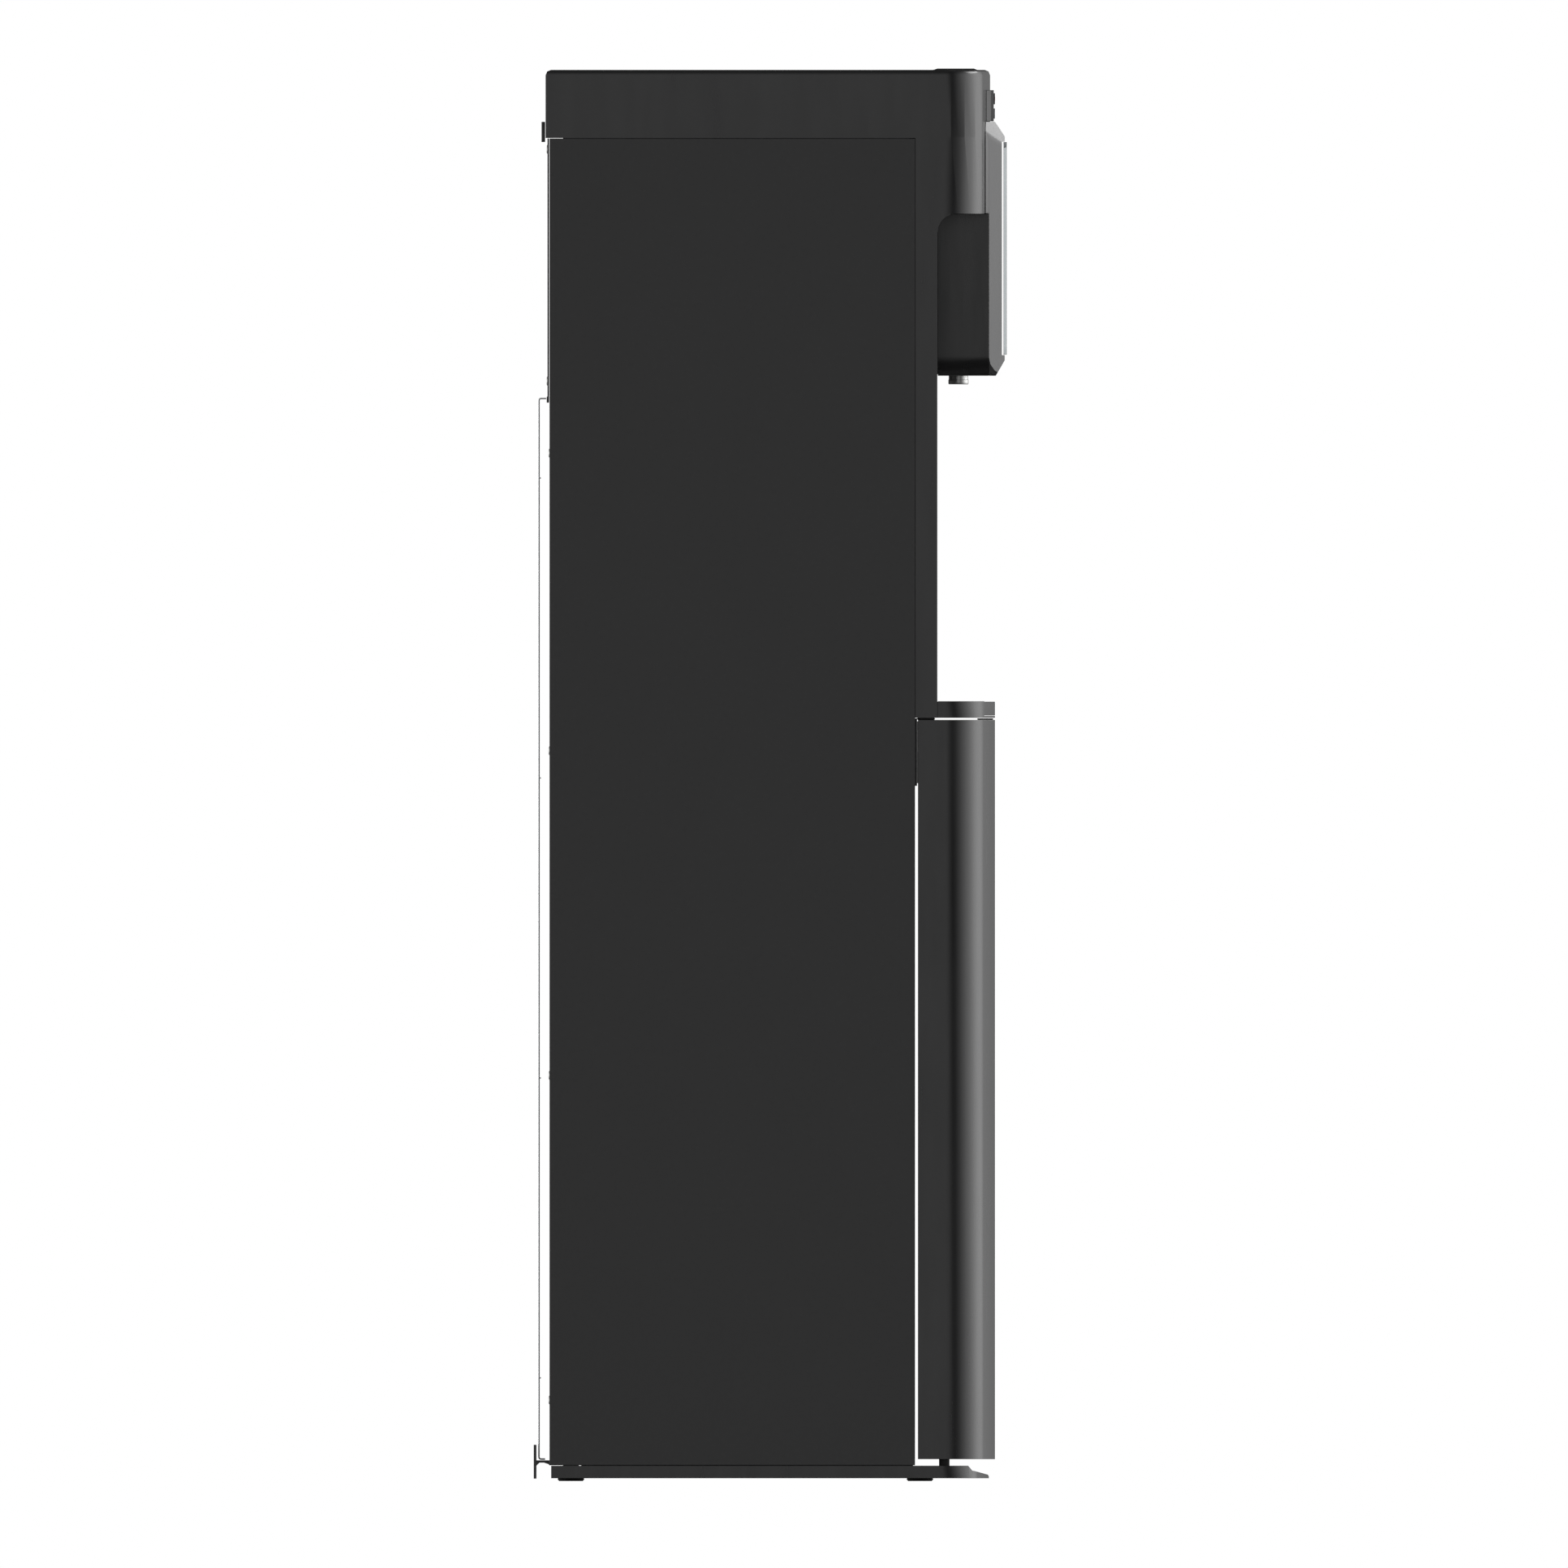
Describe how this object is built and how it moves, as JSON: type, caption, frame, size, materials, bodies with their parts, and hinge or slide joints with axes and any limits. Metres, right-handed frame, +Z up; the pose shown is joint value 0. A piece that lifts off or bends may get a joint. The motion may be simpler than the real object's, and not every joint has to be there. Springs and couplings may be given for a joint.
{
  "type": "bottom-loading water dispenser",
  "caption": "Tall floor-standing water dispenser with a bowed door over the bottle bay, an open dispensing alcove with spouts and drip tray, and push buttons above a glass front.",
  "frame": {"origin": "on the floor, under the centre of the machine's overall depth and width", "axes": "+Z up, the front with its door and spouts faces -Y, +X to the right as one faces the front"},
  "size_m": [0.31, 0.3498, 1.0444],
  "materials": {
    "charcoal_plastic": "fine satin texture",
    "charcoal_steel": "satin powder coat",
    "black_plastic": "matte black",
    "gloss_black": "gloss black",
    "panel_glass": "polished edge",
    "light_trim": "translucent white",
    "stainless": "brushed stainless",
    "galvanised": "galvanised",
    "rubber_black": "rubber",
    "foam": "rigid insulating foam",
    "liner_grey": "moulded liner",
    "red_rocker": "gloss red",
    "blue_rocker": "gloss blue",
    "button_grey": "satin dark grey",
    "board": "solder mask",
    "silicone": "milky silicone",
    "compressor_black": "black enamel"
  },
  "bodies": {
    "cabinet": {"base_pan": "charcoal_plastic", "foot_front_left": "rubber_black", "foot_front_right": "rubber_black", "foot_rear_left": "rubber_black", "foot_rear_right": "rubber_black", "side_panel_left": "charcoal_steel", "side_panel_right": "charcoal_steel", "back_panel_upper": "charcoal_steel", "back_panel_lower": "charcoal_steel", "bay_liner": "liner_grey", "bay_floor": "liner_grey", "cross_rail": "black_plastic", "partition_shelf": "galvanised", "tank_shelf": "galvanised", "wall_spacer_left": "black_plastic", "wall_spacer_right": "black_plastic", "rear_grip": "black_plastic", "hinge_pin_lower": "stainless", "hinge_arm_upper": "stainless", "probe_hanger": "liner_grey", "upper_housing": "charcoal_plastic", "drip_ledge": "charcoal_plastic", "splash_panel": "charcoal_plastic", "spout_housing": "black_plastic", "head_shield": "charcoal_plastic", "display_glass": "panel_glass", "night_light_lens": "light_trim", "button_bezel": "gloss_black", "indicator_bar": "light_trim", "control_board": "board", "valve_block": "black_plastic", "nozzle_hot": "stainless", "nozzle_room": "stainless", "nozzle_cold": "stainless", "compressor": "compressor_black", "condenser": "compressor_black", "rear_guard": "galvanised", "cold_tank_foam": "foam", "cold_tank": "stainless", "hot_tank": "stainless", "pump": "black_plastic", "switch_plate": "black_plastic", "power_inlet": "black_plastic", "drain_pipe": "stainless"},
    "door": {"door_shell": "charcoal_plastic", "door_liner": "liner_grey", "door_grip": "black_plastic", "door_magnet": "black_plastic"},
    "drip_tray": {"drip_tray": "black_plastic"},
    "drip_grille": {"drip_grille": "stainless"},
    "probe": {"probe": "light_trim", "probe_hose": "silicone"},
    "button_hot": {"button_hot": "button_grey"},
    "button_room": {"button_room": "button_grey"},
    "button_cold": {"button_cold": "button_grey"},
    "button_lock": {"button_lock": "button_grey"},
    "rocker_hot": {"rocker_hot": "red_rocker"},
    "rocker_cold": {"rocker_cold": "blue_rocker"},
    "rocker_light": {"rocker_light": "light_trim"},
    "drain_cap": {"drain_cap": "rubber_black"}
  },
  "joints": [
    {"name": "door_hinge", "type": "hinge", "parent": "cabinet", "child": "door", "pos_m": [-0.147, -0.1287, 0.0162], "axis": [0, 0, -1], "range_deg": [0, 95]},
    {"name": "drip_tray_slide", "type": "slide", "parent": "cabinet", "child": "drip_tray", "axis": [0, -1, 0], "range_m": [0, 0.045]},
    {"name": "drip_grille_lift", "type": "slide", "parent": "drip_tray", "child": "drip_grille", "axis": [0, 0, 1], "range_m": [0, 0.03]},
    {"name": "probe_lift", "type": "slide", "parent": "cabinet", "child": "probe", "axis": [0, 0, 1], "range_m": [0, 0.03]},
    {"name": "button_hot_press", "type": "slide", "parent": "cabinet", "child": "button_hot", "axis": [0, 1, 0], "range_m": [0, 0.002], "stiffness_N_per_m": 400, "springref_m": -0.001},
    {"name": "button_room_press", "type": "slide", "parent": "cabinet", "child": "button_room", "axis": [0, 1, 0], "range_m": [0, 0.002], "stiffness_N_per_m": 400, "springref_m": -0.001},
    {"name": "button_cold_press", "type": "slide", "parent": "cabinet", "child": "button_cold", "axis": [0, 1, 0], "range_m": [0, 0.002], "stiffness_N_per_m": 400, "springref_m": -0.001},
    {"name": "button_lock_press", "type": "slide", "parent": "cabinet", "child": "button_lock", "axis": [0, 1, 0], "range_m": [0, 0.002], "stiffness_N_per_m": 400, "springref_m": -0.001},
    {"name": "rocker_hot_rock", "type": "hinge", "parent": "cabinet", "child": "rocker_hot", "pos_m": [0.055, 0.1572, 0.8573], "axis": [1, 0, 0], "range_deg": [-8, 8]},
    {"name": "rocker_cold_rock", "type": "hinge", "parent": "cabinet", "child": "rocker_cold", "pos_m": [0.085, 0.1572, 0.8573], "axis": [1, 0, 0], "range_deg": [-8, 8]},
    {"name": "rocker_light_rock", "type": "hinge", "parent": "cabinet", "child": "rocker_light", "pos_m": [0.115, 0.1572, 0.8573], "axis": [1, 0, 0], "range_deg": [-8, 8]},
    {"name": "drain_cap_turn", "type": "hinge", "parent": "cabinet", "child": "drain_cap", "pos_m": [-0.11, 0.1422, 0.0754], "axis": [0, 1, 0], "range_deg": [0, 540]}
  ]
}
